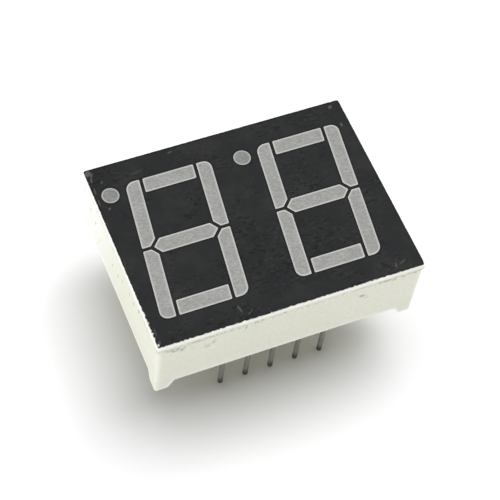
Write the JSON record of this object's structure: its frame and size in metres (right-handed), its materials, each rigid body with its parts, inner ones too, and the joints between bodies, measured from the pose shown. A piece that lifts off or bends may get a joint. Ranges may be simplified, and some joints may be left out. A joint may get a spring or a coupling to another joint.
{
  "type": "seven segment display",
  "caption": "Flat block with slanted bar segments and round points flush in a dark face, corner feet and two rows of straight pins, for showing digits.",
  "frame": {"origin": "centre of the pin pattern, on the plane that the four feet's ends lie in", "axes": "+X to the reader's right, +Y up the digits, +Z out of the face; the pins point along -Z"},
  "size_m": [0.0254, 0.0194, 0.0145],
  "materials": {
    "housing_plastic": "satin moulded plastic, off-white",
    "face_ink": "matt charcoal ink with fine scratches",
    "light_resin": "semi-matt grey diffusing resin",
    "potting_resin": "milky set resin",
    "board_laminate": "glass-fibre laminate",
    "copper": "plated copper",
    "solder": "dull solder",
    "tinned_wire": "dull tinned wire",
    "emitter_crystal": "cut semiconductor crystal",
    "bond_gold": "bright drawn gold wire"
  },
  "bodies": {
    "root": {"housing": "housing_plastic", "face_mask": "face_ink", "circuit_board": "board_laminate", "top_copper": "copper", "bottom_copper": "copper", "solder_joints": "solder", "potting_resin": "potting_resin", "left_segment_a": "light_resin", "left_segment_b": "light_resin", "left_segment_c": "light_resin", "left_segment_d": "light_resin", "left_segment_e": "light_resin", "left_segment_f": "light_resin", "left_segment_g": "light_resin", "left_point": "light_resin", "right_segment_a": "light_resin", "right_segment_b": "light_resin", "right_segment_c": "light_resin", "right_segment_d": "light_resin", "right_segment_e": "light_resin", "right_segment_f": "light_resin", "right_segment_g": "light_resin", "right_point": "light_resin", "left_chip_a": "emitter_crystal", "left_chip_b": "emitter_crystal", "left_chip_c": "emitter_crystal", "left_chip_d": "emitter_crystal", "left_chip_e": "emitter_crystal", "left_chip_f": "emitter_crystal", "left_chip_g": "emitter_crystal", "left_chip_point": "emitter_crystal", "right_chip_a": "emitter_crystal", "right_chip_b": "emitter_crystal", "right_chip_c": "emitter_crystal", "right_chip_d": "emitter_crystal", "right_chip_e": "emitter_crystal", "right_chip_f": "emitter_crystal", "right_chip_g": "emitter_crystal", "right_chip_point": "emitter_crystal", "left_bond_wires": "bond_gold", "right_bond_wires": "bond_gold", "pin_1": "tinned_wire", "pin_2": "tinned_wire", "pin_3": "tinned_wire", "pin_4": "tinned_wire", "pin_5": "tinned_wire", "pin_6": "tinned_wire", "pin_7": "tinned_wire", "pin_8": "tinned_wire", "pin_9": "tinned_wire", "pin_10": "tinned_wire"}
  },
  "joints": []
}
